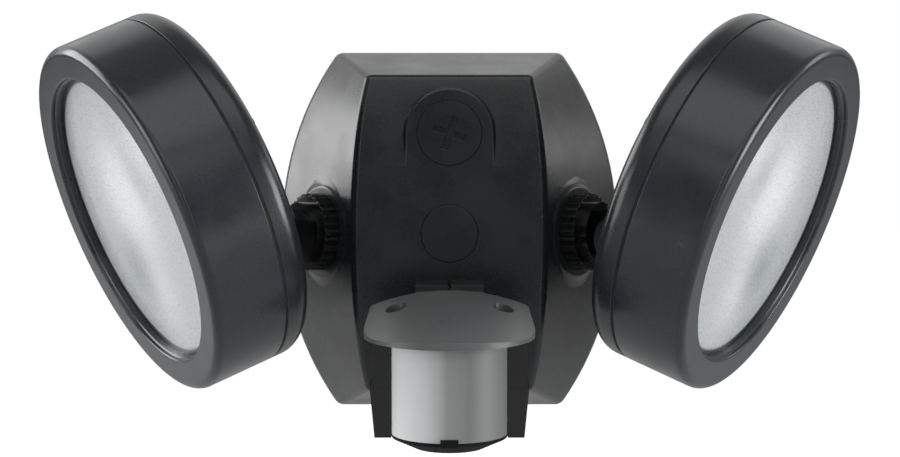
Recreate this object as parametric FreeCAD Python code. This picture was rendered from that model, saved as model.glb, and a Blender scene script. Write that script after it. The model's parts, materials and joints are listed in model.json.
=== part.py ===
import FreeCAD, Part
import math
import os

from FreeCAD import Placement, Rotation, Vector

# Twin-head motion sensor security light, in millimetres.
# Origin: centre of the junction box screw pattern, on the wall plane.
# X runs to the viewer's right, Y into the wall and Z up.

# Clearances
RUN = 0.05  # radial play of a shaft, stem or bolt that turns in its hole
FREE = 0.3  # least space between pieces that move past each other
SEAT = 0.2  # play round a loose insert in its pocket

# Cover plate: a hollow casting, chamfered towards the front
COVER_HEIGHT = 141.2
COVER_WAIST = 134.4  # width at the wall, across the middle
COVER_END = 89.4  # width at the wall, across top and bottom
FACE_WAIST = 75.4
FACE_END = 60.6
COVER_DEPTH = 50.0
COVER_RIM = 4.0  # straight edge before the sides slope in
END_RUN = 10.4  # that top and bottom slope in by
FACE_HEIGHT = COVER_HEIGHT - 2 * END_RUN  # front outline, before the bowed face cuts it
COVER_WALL = 3.0
SIDE_RUN_COUNT = 10  # straight runs that draw each bowed side
FACE_BOW = 330.0  # radius of the bowed front face

# Gasket between cover and wall
GASKET_THICK = 2.0
GASKET_INSET = 1.2

# Crossbar that screws to the junction box
STRAP_WIDTH = 19.0
STRAP_THICK = 2.0
BOX_SCREW_SPACING = 88.9
SLOT_WIDTH = 4.4
SLOT_LENGTH = 12.0
STRAP_MARGIN = 4.0  # metal left beyond a slot
STRAP_HALF = BOX_SCREW_SPACING / 2 + SLOT_LENGTH / 2 + STRAP_MARGIN
STRAP_CLEAR = 3.55  # from the crossbar's ends to the gasket
GASKET_BAND = COVER_WAIST / 2 - GASKET_INSET - STRAP_HALF - STRAP_CLEAR
GROUND_OFFSET = 24.0

# Screw that draws the cover onto the crossbar
CENTRE_SCREW_R = 2.4
SCREW_HEAD_R = 4.6  # across the corners of its hexagon
SCREW_HEAD_H = 3.0
SCREW_PAST = 5.0
CUP_DEPTH = 9.0
CUP_LEDGE = 1.5
CUP_FLOOR = 3.0
GROUND_SCREW_R = 2.0
GROUND_SCREW_LENGTH = 8.0

# Threaded hubs for half-inch stems
STEM_R = 10.4
HUB_SETBACK = 30.5  # from the wall, of where a side hub's axis leaves the cover's side
HUB_PROUD = 0.94  # of a side hub's face, from the middle of the cover's side
HUB_RING_R = 18.2
HUB_DEPTH = 9.0  # of the threaded boss, from its face

# Raised pads on the front face, above and below its middle
PAD_R = 18.0
PAD_FROM_END = 21.0  # of a pad's centre, from the top or bottom of the front outline
PAD_BACK = 0.8  # of a pad's flat front, behind the middle of the face
PAD_ROOT = 12.0

# Threaded plug of the unused hub
PLUG_R = 12.6
PLUG_HEAD_H = 3.0
PLUG_LENGTH = 9.0
CROSS_SPAN = 13.5
CROSS_WIDTH = 2.7
CROSS_DEPTH = 1.8
CROSS_TURN = 19.0

# Cap over the centre screw
CAP_R = 11.1
CAP_THICK = 2.5

# Locknuts
NUT_R = 15.15
NUT_H = 6.3
NUT_TEETH = 28
NUT_LAND = 0.34  # share of a tooth's pitch that its top takes
NUT_TOOTH_DEPTH = 0.9

# Arms and toothed knuckles
STEM_INSIDE = 13.0  # stem past the hub's face, into the cover
COLLAR_R = 11.8
COLLAR_H = 4.0
KNUCKLE_R = 12.5
KNUCKLE_HALF = 12.8
NECK_HALF = 8.0
FLARE = 0.9
TEETH = 24
TOOTH_DEPTH = 0.9
TEETH_INNER_R = 8.0
BOLT_R = 3.0
BOLT_HEAD_R = 5.8
BOLT_HEAD_H = 4.0
BOLT_SINK = 2.6
BOLT_PAST = 1.5
NUT_M_R = 5.8
NUT_M_H = 4.0
NUT_SINK = 3.0

# Where each lamp head points
HEAD_REACH = 26.7  # tilt bolt from the hub's face
HEAD_SWIVEL = 20.2  # degrees turned forward about the stem
HEAD_TILT = 23.5  # degrees tilted down from the stem's line

# Lamp head: a round die-cast pan with a screwed bezel
HEAD_R = 70.8
HEAD_DEPTH = 41.9
HEAD_RISE = 30.2  # of the head's axis above its tilt bolt
HEAD_STANDOFF = 11.8  # of the head's back from its tilt bolt
HEAD_WALL = 2.5
SPLIT_DEPTH = 30.2
SPLIT_GAP = 1.0
REAR_ROUND = 7.0
BEZEL_OPEN_R = 58.2
BEZEL_THROAT_R = 57.2
BEZEL_LIP = 4.5
BEZEL_ROUND = 3.0
LENS_R = 61.0
LENS_THICK = 4.0
GASKET_RUN_COUNT = 48
FIN_HEIGHT = 5.0
FIN_THICK = 2.4
FIN_PITCH = 13.0
FIN_MARGIN = 14.0  # plain rim outside the fins
BOARD_R = 27.0  # across the corners
BOARD_CORNER_COUNT = 8
PAD_MARGIN = 2.5  # of the board's seat round the board
BOARD_THICK = 1.6
BOARD_LIFT = 2.8  # of the board's seat above the pan's face
LED_PITCH = 9.0
LED_SIDE = 3.5
LED_H = 0.8
REFLECTOR_FACET_COUNT = 24
REFLECTOR_WALL = 1.2
REFLECTOR_SMALL_R = 23.0
REFLECTOR_WAIST_R = 38.0
REFLECTOR_WAIST_SHARE = 0.4
REFLECTOR_LARGE_R = 57.5
DRIVER_LENGTH = 50.0
DRIVER_WIDTH = 20.0
DRIVER_H = 8.5
DRIVER_RISE = 35.0

# Motion sensor
SENSOR_REACH = 28.8  # tilt bolt from the hub's face
SENSOR_RISE = 10.3  # of the tilt bolt above the stem
SENSOR_TILT = 5.8  # degrees it faces down
CASE_WIDTH = 58.6
CASE_FRONT = 36.0  # of the case's front face from the tilt bolt
CASE_BACK = 13.8
CASE_TOP = 3.8  # below the tilt bolt
CASE_SPLIT = 22.8
CASE_BOTTOM = 41.8
CASE_WALL = 2.0
CASE_FLARE = 0.6
CASE_DRAFT = 1.2
SENSOR_LENS_R = 21.6
SENSOR_LENS_WALL = 1.2
SENSOR_LENS_BOTTOM = 39.9
SENSOR_LENS_LEG = 3.0
CAP_BOTTOM = 45.1
CAP_FOOT_R = 13.0
CAP_RIM = 1.2
TAB_WIDTH = 6.6
TAB_H = 1.5
TAB_THICK = 0.8

# Sensor hood
HOOD_R = 32.0
HOOD_FRONT = 65.6
HOOD_BACK = 13.6
HOOD_BACK_HALF = 30.0
HOOD_CLIP = 1.2
HOOD_LIP = 3.1
HOOD_WALL = 2.2
HOOD_SLOPE = 12.2
HOOD_CROWN = 80.0  # radius across the roof
HOOD_SCREW_X = 20.2
HOOD_SCREW_Y = 24.0
HOOD_SCREW_WELL_R = 4.0

# Sensor insides and controls
SENSOR_BOARD_THICK = 1.6
SENSOR_BOARD_SETBACK = 6.0  # behind the case's front face
SENSOR_BOARD_MARGIN = 3.0
PIR_R = 4.6
PIR_H = 4.4
PHOTOCELL_R = 2.6
PHOTOCELL_H = 2.2
KNOB_COUNT = 3
KNOB_PITCH = 13.0
KNOB_R = 4.0
KNOB_FLAT_COUNT = 12
KNOB_H = 2.6
KNOB_SHAFT_R = 2.2
KNOB_SHAFT_H = 4.0
KNOB_SLOT = 1.0
KNOB_BACK = 24.5

OUT = Vector(0, 0, 1)


# Basic shapes

def disc(radius, low, high, x=0.0, y=0.0):
    """Cylinder along Z between two heights."""
    return Part.makeCylinder(radius, high - low, Vector(x, y, low))


def ring(inner, outer, low, high, x=0.0, y=0.0):
    """Flat ring along Z between two heights."""
    return disc(outer, low, high, x, y).cut(disc(inner, low, high, x, y))


def rod(radius, low, high, y=0.0, z=0.0):
    """Cylinder along X between two places."""
    return Part.makeCylinder(radius, high - low, Vector(low, y, z), Vector(1, 0, 0))


def block(x0, x1, y0, y1, z0, z1):
    """Box between two corners."""
    return Part.makeBox(x1 - x0, y1 - y0, z1 - z0, Vector(x0, y0, z0))


def xz(a, b):
    return Vector(a, 0, b)


def yz(a, b):
    return Vector(0, a, b)


def rounded_face(corners, plane, bands=0):
    """Face through corners (a, b, radius), each rounded by a tangent arc or by straight bands."""
    points = [Vector(a, b, 0) for a, b, radius in corners]
    edges = []
    ends = []
    for i, (a, b, radius) in enumerate(corners):
        here = points[i]
        back = (points[i - 1] - here).normalize()
        ahead = (points[(i + 1) % len(points)] - here).normalize()
        if radius == 0:
            ends.append((here, here, None))
            continue
        half = math.acos(max(-1.0, min(1.0, back.dot(ahead)))) / 2
        run = radius / math.tan(half)
        middle = here + (back + ahead).normalize() * (radius / math.sin(half) - radius)
        ends.append((here + back * run, here + ahead * run, middle))
    for i, (start, end, middle) in enumerate(ends):
        if middle is not None and bands == 0:
            arc = [plane(p.x, p.y) for p in (start, middle, end)]
            edges.append(Part.Arc(*arc).toShape())
        if middle is not None and bands > 0:
            stops = Part.Arc(start, middle, end).toShape().discretize(bands + 1)
            for a, b in zip(stops, stops[1:]):
                edges.append(Part.makeLine(plane(a.x, a.y), plane(b.x, b.y)))
        after = ends[(i + 1) % len(ends)][0]
        if end.distanceToPoint(after) > 1e-6:
            edges.append(Part.makeLine(plane(end.x, end.y), plane(after.x, after.y)))
    return Part.Face(Part.Wire(edges))


def turned(corners, bands=1):
    """Solid of revolution about Z from corners (radius, height, bevel)."""
    return rounded_face(corners, xz, bands).revolve(Vector(), OUT, 360)


def around(shape, count, start=0.0):
    """Copies of a shape, evenly spaced about Z."""
    copies = []
    for i in range(count):
        copy = shape.copy()
        copy.rotate(Vector(), OUT, start + 360.0 * i / count)
        copies.append(copy)
    return copies


def polygon(count, corner_r, height=0.0, turn=0.0):
    """Corners of a regular polygon about Z."""
    angles = [math.radians(turn + 360.0 * i / count) for i in range(count)]
    return [Vector(corner_r * math.cos(a), corner_r * math.sin(a), height) for a in angles]


def prism(count, corner_r, low, high, turn=0.0):
    """Regular prism along Z between two heights."""
    corners = polygon(count, corner_r, low, turn)
    return Part.Face(Part.makePolygon(corners + corners[:1])).extrude(Vector(0, 0, high - low))


def hexagon(corner_r, low, high):
    """Hexagonal bar along X between two places."""
    bar = prism(6, corner_r, low, high)
    bar.rotate(Vector(), Vector(0, 1, 0), 90)
    return bar


def faceted(rings):
    """Solid through closed rings of as many corners, with flat facets between them."""
    faces = [Part.Face(Part.makePolygon(ring + ring[:1])) for ring in (rings[0], rings[-1])]
    for near, far in zip(rings, rings[1:]):
        for i in range(len(near)):
            a, b, c, d = near[i - 1], near[i], far[i], far[i - 1]
            for trio in ((a, b, c), (a, c, d)):
                faces.append(Part.Face(Part.makePolygon([*trio, trio[0]])))
    solid = Part.Solid(Part.Shell(faces))
    if solid.Volume < 0:
        solid.reverse()
    return solid


def frame(origin, x_axis, z_axis):
    """Placement with its own X and Z along two square directions."""
    y_axis = z_axis.cross(x_axis)
    return Placement(origin, Rotation(x_axis, y_axis, z_axis, "ZXY"))


def placed(shape, where):
    copy = shape.copy()
    copy.Placement = where.multiply(copy.Placement)
    return copy


# Frames of the hubs, arms, heads and sensor

def side_hub(side):
    """Hub of one side: Z out along the stem, Y up. side is -1 left, 1 right."""
    run = (COVER_WAIST - FACE_WAIST) / 2
    slope = COVER_DEPTH - COVER_RIM
    out = Vector(side * slope, -run, 0).normalize()
    across = COVER_WAIST / 2 - run * (HUB_SETBACK - COVER_RIM) / slope
    flat = Vector(0, 0, 1).cross(out)
    return frame(Vector(side * across, -HUB_SETBACK, 0) + out * HUB_PROUD, flat, out)


def pad_hub(side):
    """Hub in a front pad: Z out of the wall. side is -1 below, 1 above."""
    rise = FACE_HEIGHT / 2 - PAD_FROM_END
    return frame(Vector(0, PAD_BACK - COVER_DEPTH, side * rise), Vector(-1, 0, 0), Vector(0, -1, 0))


def face_middle():
    """Middle of the cover's front face: Z out of the wall."""
    return frame(Vector(0, -COVER_DEPTH, 0), Vector(-1, 0, 0), Vector(0, -1, 0))


def arm_frame(side):
    """Side hub turned about its stem to where the arm is set."""
    return side_hub(side).multiply(Placement(Vector(), Rotation(OUT, side * HEAD_SWIVEL)))


def bolt_frame(arm_place, reach, rise):
    """Tilt bolt of an arm, square to the arm."""
    return arm_place.multiply(Placement(Vector(0, rise, reach), Rotation()))


def head_frame(side):
    """Tilt bolt of a head: X along the bolt, Z where the light shines."""
    tilt = Rotation(Vector(1, 0, 0), HEAD_TILT)
    return arm_frame(side).multiply(Placement(Vector(0, 0, HEAD_REACH), tilt))


def lamp_frame(side):
    """Middle of a head's front plane."""
    shift = Vector(0, HEAD_RISE, HEAD_STANDOFF + HEAD_DEPTH)
    return head_frame(side).multiply(Placement(shift, Rotation()))


def sensor_frame():
    """Tilt bolt of the sensor: X right, Y back, Z up through its case."""
    bolt = bolt_frame(pad_hub(-1), SENSOR_REACH, -SENSOR_RISE)
    return Placement(bolt.Base, Rotation(Vector(1, 0, 0), SENSOR_TILT))


# Cover plate

def cover_outline(waist, end, height, depth):
    """Outline at one depth: sides bowed in straight runs, flat top and bottom."""
    corners = []
    for side in (1, -1):
        start = Vector(side * end, -depth, side * height)
        stop = Vector(side * end, -depth, -side * height)
        bow = Part.Arc(start, Vector(side * waist, -depth, 0), stop).toShape()
        corners += bow.discretize(SIDE_RUN_COUNT + 1)
    return corners


def cover_body(inset):
    """Solid inside the cover's outer skin, inset evenly all round."""
    slope = COVER_DEPTH - COVER_RIM
    side = inset * math.hypot(slope, (COVER_WAIST - FACE_WAIST) / 2) / slope
    end = inset * math.hypot(slope, (COVER_HEIGHT - FACE_HEIGHT) / 2) / slope
    wall = (COVER_WAIST / 2 - side, COVER_END / 2 - side, COVER_HEIGHT / 2 - end)
    face = (FACE_WAIST / 2 - side, FACE_END / 2 - side, FACE_HEIGHT / 2 - end)
    rim = [cover_outline(*wall, 0), cover_outline(*wall, COVER_RIM)]
    body = faceted(rim + [cover_outline(*face, COVER_DEPTH)])
    centre_y = FACE_BOW - COVER_DEPTH
    return body.common(rod(FACE_BOW - inset, -COVER_WAIST, COVER_WAIST, centre_y))


def pad(side):
    """Flat raised pad, open towards the middle of the face and fading into it."""
    round_end = disc(PAD_R, -PAD_ROOT, 0)
    reach = FACE_HEIGHT / 2 - PAD_FROM_END - PAD_R / 2
    ends = sorted((0, side * reach))
    straight = block(-PAD_R, PAD_R, ends[0], ends[1], -PAD_ROOT, 0)
    return placed(round_end.fuse(straight).removeSplitter(), pad_hub(side))


def hub_boss():
    """Round seat of a side hub, deep enough for its thread."""
    return disc(HUB_RING_R, -HUB_DEPTH, 0)


def cover_plate():
    shell = cover_body(0).fuse([pad(1), pad(-1)]).cut(cover_body(COVER_WALL))
    cup_floor = COVER_DEPTH - CUP_DEPTH
    cup = disc(CAP_R + COVER_WALL, -CUP_DEPTH - CUP_FLOOR, -COVER_WALL / 2)
    bosses = [placed(cup, face_middle())]
    pad_boss = disc(PLUG_R + COVER_WALL, -HUB_DEPTH, -PAD_ROOT / 4)
    bore = disc(STEM_R + RUN, -HUB_DEPTH - 1, COVER_WALL)
    bores = []
    for side in (-1, 1):
        bosses += [placed(hub_boss(), side_hub(side)), placed(pad_boss, pad_hub(side))]
        bores += [placed(bore, side_hub(side)), placed(bore, pad_hub(side))]
    shell = shell.fuse(bosses)
    cap_seat = disc(CAP_R + SEAT, -CAP_THICK, 1)
    cup_bore = disc(CAP_R - CUP_LEDGE, -CUP_DEPTH, 1)
    screw_way = disc(CENTRE_SCREW_R + SEAT, -COVER_DEPTH, 0)
    bores += [placed(tool, face_middle()) for tool in (cap_seat, cup_bore, screw_way)]
    bores.append(placed(disc(PLUG_R + SEAT, -PLUG_HEAD_H, 1), pad_hub(1)))
    bores.append(block(-COVER_WAIST, COVER_WAIST, -GASKET_THICK, COVER_DEPTH, -COVER_HEIGHT, COVER_HEIGHT))
    return shell.cut(bores)


def wall_gasket():
    """Foam ring behind the cover's rim."""
    def slab(inset):
        corners = cover_outline(COVER_WAIST / 2 - inset, COVER_END / 2 - inset, COVER_HEIGHT / 2 - inset, 0)
        return Part.Face(Part.makePolygon(corners + corners[:1])).extrude(Vector(0, -GASKET_THICK, 0))

    return slab(GASKET_INSET).cut(slab(GASKET_INSET + GASKET_BAND))


def strap_slot(x):
    """Slot for one junction box screw."""
    half = SLOT_LENGTH / 2 - SLOT_WIDTH / 2
    depth = STRAP_THICK * 3
    start = Vector(0, -depth, 0)
    tool = block(x - half, x + half, -depth, depth, -SLOT_WIDTH / 2, SLOT_WIDTH / 2)
    for end in (x - half, x + half):
        round_end = Part.makeCylinder(SLOT_WIDTH / 2, depth * 2, start + Vector(end, 0, 0), Vector(0, 1, 0))
        tool = tool.fuse(round_end)
    return tool


def box_strap():
    """Steel crossbar with two slots, a centre thread and a ground screw hole."""
    corner = STRAP_WIDTH / 4
    plan = [(x * STRAP_HALF, z * STRAP_WIDTH / 2, corner) for x, z in ((-1, -1), (1, -1), (1, 1), (-1, 1))]
    bar = rounded_face(plan, xz, 1).extrude(Vector(0, -STRAP_THICK, 0))
    start = Vector(0, -STRAP_THICK * 2, 0)
    centre = Part.makeCylinder(CENTRE_SCREW_R, STRAP_THICK * 3, start, Vector(0, 1, 0))
    ground = Part.makeCylinder(GROUND_SCREW_R, STRAP_THICK * 3, start + Vector(GROUND_OFFSET, 0, 0),
                               Vector(0, 1, 0))
    slots = [strap_slot(side * BOX_SCREW_SPACING / 2) for side in (-1, 1)]
    return bar.cut([centre, ground] + slots)


def hex_screw(radius, length):
    """Screw along -Z from the underside of its hexagonal head."""
    return disc(radius, -length, 0).fuse(prism(6, SCREW_HEAD_R, 0, SCREW_HEAD_H))


def centre_screw():
    length = COVER_DEPTH - CUP_DEPTH + SCREW_PAST - STRAP_THICK
    screw = hex_screw(CENTRE_SCREW_R, length)
    screw.translate(OUT * -CUP_DEPTH)
    return placed(screw, face_middle())


def ground_screw():
    seat = Vector(GROUND_OFFSET, -STRAP_THICK, 0)
    place = frame(seat, Vector(-1, 0, 0), Vector(0, -1, 0))
    return placed(hex_screw(GROUND_SCREW_R, GROUND_SCREW_LENGTH), place)


def centre_cap():
    """Flush disc pressed into the mouth of the cup."""
    return placed(disc(CAP_R, -CAP_THICK, 0), face_middle())


def closure_plug():
    """Threaded plug with a cross recess, its face flush with the pad."""
    under = -PLUG_HEAD_H
    body = disc(STEM_R, under - PLUG_LENGTH, under).fuse(disc(PLUG_R, under, 0))
    slot = block(-CROSS_SPAN / 2, CROSS_SPAN / 2, -CROSS_WIDTH / 2, CROSS_WIDTH / 2, -CROSS_DEPTH, 1)
    return body.cut(around(slot, 4, -CROSS_TURN)[:2])


# Locknut, arm and knuckle

def locknut():
    """Ring nut with a toothed rim, on the hub's face."""
    root = NUT_R - NUT_TOOTH_DEPTH
    half = 180.0 / NUT_TEETH * NUT_LAND
    corners = []
    for i in range(NUT_TEETH):
        middle = 360.0 * i / NUT_TEETH
        for radius, turn in ((NUT_R, -half), (NUT_R, half), (root, 180.0 / NUT_TEETH)):
            angle = math.radians(middle + turn)
            corners.append(Vector(radius * math.cos(angle), radius * math.sin(angle), 0))
    body = Part.Face(Part.makePolygon(corners + corners[:1])).extrude(OUT * NUT_H)
    return body.cut(disc(STEM_R + RUN, -1, NUT_H + 1))


def knuckle_teeth():
    """Radial notches in a knuckle face that looks along -X."""
    start = FREE / 2
    pitch = 2 * math.pi * KNUCKLE_R / TEETH
    notches = []
    for i in range(TEETH):
        inner = Vector(start - 0.01, 0, TEETH_INNER_R)
        rim_left = Vector(start - 0.01, -pitch / 2.3, KNUCKLE_R + 1)
        rim_right = Vector(start - 0.01, pitch / 2.3, KNUCKLE_R + 1)
        deep = Vector(start + TOOTH_DEPTH, 0, KNUCKLE_R + 1)
        corners = (inner, rim_left, rim_right, deep)
        faces = []
        for trio in ((0, 1, 2), (0, 1, 3), (0, 2, 3), (1, 2, 3)):
            a, b, c = (corners[k] for k in trio)
            faces.append(Part.Face(Part.makePolygon([a, b, c, a])))
        notch = Part.Solid(Part.makeShell(faces))
        if notch.Volume < 0:
            notch.reverse()
        notch.rotate(Vector(), Vector(1, 0, 0), 360.0 * i / TEETH)
        notches.append(notch)
    return notches


def knuckle_half():
    """Round knuckle half on the +X side of the tilt bolt's middle."""
    return rod(KNUCKLE_R, FREE / 2, FREE / 2 + KNUCKLE_HALF)


def knuckle_bores():
    """Bolt hole and teeth of a +X knuckle half."""
    return [rod(BOLT_R + RUN, 0, KNUCKLE_HALF + 2)] + knuckle_teeth()


def tangent_corner(start, centre, radius, side):
    """Where a line from start touches a circle, on one side of it."""
    gap = start - centre
    lean = math.acos(radius / gap.Length)
    aim = math.atan2(gap.y, gap.x) + side * lean
    return Vector(centre.x + radius * math.cos(aim), centre.y + radius * math.sin(aim), 0)


def arm(reach, rise):
    """Threaded stem, collar and the toothed half knuckle that it carries."""
    top = NUT_H + COLLAR_H
    stem = disc(STEM_R, -STEM_INSIDE, NUT_H).fuse(disc(COLLAR_R, NUT_H, top))
    foot = NUT_H + COLLAR_H / 2
    centre = Vector(rise, reach, 0)
    low_left = Vector(-NECK_HALF, foot, 0)
    low_right = Vector(NECK_HALF, foot, 0)
    left = tangent_corner(low_left, centre, KNUCKLE_R, -1)
    right = tangent_corner(low_right, centre, KNUCKLE_R, 1)
    outline = [yz(p.x, p.y) for p in (low_left, low_right, right, centre, left, low_left)]
    neck = Part.Face(Part.makePolygon(outline)).extrude(Vector(KNUCKLE_HALF, 0, 0))
    neck.translate(Vector(FREE / 2, 0, 0))
    flare = Part.makeCone(COLLAR_R, COLLAR_R + FLARE * (reach - foot), reach - foot, Vector(0, 0, foot))
    half = knuckle_half()
    half.translate(Vector(0, rise, reach))
    body = stem.fuse([neck.common(flare), half])
    bores = knuckle_bores()
    bores.append(hexagon(BOLT_HEAD_R + 2 * SEAT, FREE / 2 + KNUCKLE_HALF - BOLT_SINK, KNUCKLE_HALF + 3))
    for bore in bores:
        bore.translate(Vector(0, rise, reach))
    return body.cut(bores)


def tilt_bolt():
    """Hex bolt through both knuckle halves, its head sunk in the arm."""
    head_seat = FREE / 2 + KNUCKLE_HALF - BOLT_SINK
    tip = -(FREE / 2 + KNUCKLE_HALF) + NUT_SINK - NUT_M_H - BOLT_PAST
    return rod(BOLT_R, tip, head_seat).fuse(hexagon(BOLT_HEAD_R, head_seat, head_seat + BOLT_HEAD_H))


def tilt_nut():
    """Hex nut sunk in the far knuckle half."""
    seat = -(FREE / 2 + KNUCKLE_HALF) + NUT_SINK
    return hexagon(NUT_M_R, seat - NUT_M_H, seat).cut(rod(BOLT_R + RUN, seat - NUT_M_H - 1, seat + 1))


def far_lug_bores():
    """Holes of the knuckle half that the tilting piece carries, on the -X side."""
    middle = Vector()
    bores = [bore.mirror(middle, Vector(1, 0, 0)) for bore in knuckle_bores()]
    seat = -(FREE / 2 + KNUCKLE_HALF) + NUT_SINK
    bores.append(hexagon(NUT_M_R + 2 * SEAT, -KNUCKLE_HALF - 3, seat))
    return bores


# Lamp head, about its own axis, front plane at z = 0

BACK = -HEAD_DEPTH
SPLIT = -SPLIT_DEPTH
BOARD_BACK = SPLIT - SPLIT_GAP / 2 + BOARD_LIFT
GLASS_FRONT = -BEZEL_LIP
GLASS_BACK = GLASS_FRONT - LENS_THICK
INNER_R = HEAD_R - HEAD_WALL
FIN_FIELD_R = HEAD_R - FIN_MARGIN


def rear_housing():
    """Finned die-cast pan with its toothed lug."""
    edge = SPLIT - SPLIT_GAP / 2
    pan = turned([
        (0, BACK, 0), (HEAD_R, BACK, REAR_ROUND), (HEAD_R, edge, 0), (0, edge, 0),
    ])
    seat = prism(BOARD_CORNER_COUNT, BOARD_R + PAD_MARGIN, edge, BOARD_BACK)
    pin_y = -HEAD_RISE
    pin_z = BACK - HEAD_STANDOFF
    lug = knuckle_half().mirror(Vector(), Vector(1, 0, 0))
    lug.translate(Vector(0, pin_y, pin_z))
    root = block(-FREE / 2 - KNUCKLE_HALF, -FREE / 2, pin_y - KNUCKLE_R, pin_y + KNUCKLE_R,
                 pin_z, BACK + FIN_HEIGHT)
    shape = pan.cut(fin_channels(pin_y)).fuse([seat, lug, root])
    bores = far_lug_bores()
    bores.append(rod(KNUCKLE_R + 2 * FREE, -FREE / 2, KNUCKLE_HALF + 3 * FREE))
    for bore in bores:
        bore.translate(Vector(0, pin_y, pin_z))
    return shape.cut(bores)


def fin_channels(pin_y):
    """Channels between the upright fins, which stop short of the lug and of the rim."""
    channels = []
    count = int(FIN_FIELD_R / FIN_PITCH)
    clear = KNUCKLE_HALF + FIN_THICK
    for i in range(-count, count):
        left = i * FIN_PITCH + FIN_THICK / 2
        right = (i + 1) * FIN_PITCH - FIN_THICK / 2
        half = math.sqrt(FIN_FIELD_R ** 2 - max(left ** 2, right ** 2))
        low = -half
        if left < clear and right > -clear:
            low = pin_y + KNUCKLE_R + FIN_THICK
        channels.append(block(left, right, low, half, BACK - 1, BACK + FIN_HEIGHT))
    return channels


def bezel():
    """Front ring: outer wall, flange and the throat that frames the glass."""
    edge = SPLIT + SPLIT_GAP / 2
    return turned([
        (INNER_R, edge, 0), (HEAD_R, edge, 0), (HEAD_R, 0, BEZEL_ROUND), (BEZEL_OPEN_R, 0, 0),
        (BEZEL_THROAT_R, -BEZEL_LIP, 0), (INNER_R, -BEZEL_LIP, 0),
    ])


def head_lens():
    return disc(LENS_R, GLASS_BACK, GLASS_FRONT)


def housing_gasket():
    """Rubber cord between pan and bezel, laid in short straight runs."""
    low = SPLIT - SPLIT_GAP / 2
    outer = prism(GASKET_RUN_COUNT, HEAD_R - SEAT, low, low + SPLIT_GAP)
    return outer.cut(prism(GASKET_RUN_COUNT, INNER_R + SEAT, low, low + SPLIT_GAP))


def reflector():
    """Faceted bowl between the emitters and the glass, steeper near them."""
    low = BOARD_BACK + BOARD_THICK
    waist = low + (GLASS_BACK - low) * REFLECTOR_WAIST_SHARE
    rings = ((REFLECTOR_SMALL_R, low), (REFLECTOR_WAIST_R, waist), (REFLECTOR_LARGE_R, GLASS_BACK))

    def bowl(extra):
        return faceted([polygon(REFLECTOR_FACET_COUNT, radius + extra, height) for radius, height in rings])

    return bowl(REFLECTOR_WALL).cut(bowl(0))


def led_board():
    """Board with a grid of emitters in the reflector's mouth."""
    top = BOARD_BACK + BOARD_THICK
    board = prism(BOARD_CORNER_COUNT, BOARD_R, BOARD_BACK, top)
    chips = []
    count = int(REFLECTOR_SMALL_R / LED_PITCH)
    half = LED_SIDE / 2
    for i in range(-count, count + 1):
        for j in range(-count, count + 1):
            x = i * LED_PITCH
            y = j * LED_PITCH
            if math.hypot(x, y) + LED_SIDE < REFLECTOR_SMALL_R:
                chips.append(block(x - half, x + half, y - half, y + half, top - 0.2, top + LED_H))
    return board.fuse(chips)


def led_driver():
    """Potted supply beside the board's pad."""
    half = DRIVER_LENGTH / 2
    low = SPLIT - SPLIT_GAP / 2
    return block(-half, half, DRIVER_RISE, DRIVER_RISE + DRIVER_WIDTH, low, low + DRIVER_H)


# Motion sensor, about its tilt bolt: X right, Y back, Z up

def case_half(low, high, low_half, high_half):
    """Drafted box between two heights, as wide as given at each."""
    corners = [xz(-low_half, low), xz(low_half, low), xz(high_half, high), xz(-high_half, high)]
    box = Part.Face(Part.makePolygon(corners + corners[:1])).extrude(Vector(0, CASE_FRONT - CASE_BACK, 0))
    box.translate(Vector(0, -CASE_FRONT, 0))
    return box


def lens_way(extra, low, high):
    """Half-round space for the lens, with its legs, grown by extra."""
    radius = SENSOR_LENS_R + extra
    bow = disc(radius, low, high, 0, -CASE_FRONT)
    front = bow.common(block(-radius, radius, -CASE_FRONT - radius, -CASE_FRONT, low, high))
    return front.fuse(block(-radius, radius, -CASE_FRONT, -CASE_FRONT + SENSOR_LENS_LEG + extra, low, high))


def upper_case():
    """Upper half of the sensor's case with the toothed lug."""
    half = CASE_WIDTH / 2
    box = case_half(-CASE_SPLIT, -CASE_TOP, half, half - CASE_FLARE)
    inner = half - CASE_WALL - CASE_FLARE
    hollow = block(-inner, inner, -CASE_FRONT + CASE_WALL, -CASE_BACK - CASE_WALL,
                   -CASE_SPLIT - 1, -CASE_TOP - CASE_WALL)
    lug = knuckle_half()
    root = block(FREE / 2, FREE / 2 + KNUCKLE_HALF, -CASE_BACK - CASE_WALL / 2, 0, -KNUCKLE_R, -CASE_TOP)
    body = box.cut([hollow, lens_way(SEAT, -CASE_SPLIT - 1, 1)]).fuse([lug, root])
    middle = Vector()
    bores = [bore.mirror(middle, Vector(1, 0, 0)) for bore in far_lug_bores()]
    return body.cut(bores)


def lower_case():
    """Lower half, flared at the split, with the holes for the controls."""
    half = CASE_WIDTH / 2
    box = case_half(-CASE_BOTTOM, -CASE_SPLIT, half - CASE_DRAFT, half + CASE_FLARE)
    inner = half - CASE_DRAFT - CASE_WALL
    hollow = block(-inner, inner, -CASE_FRONT + CASE_WALL, -CASE_BACK - CASE_WALL,
                   -CASE_BOTTOM + CASE_WALL, 0)
    holes = [disc(KNOB_SHAFT_R + RUN, -CASE_BOTTOM - 1, -CASE_SPLIT, x, -KNOB_BACK) for x in knob_places()]
    return box.cut([hollow, lens_way(SEAT, -CASE_BOTTOM - 1, 1)] + holes)


def knob_places():
    return [(i - (KNOB_COUNT - 1) / 2) * KNOB_PITCH for i in range(KNOB_COUNT)]


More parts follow.
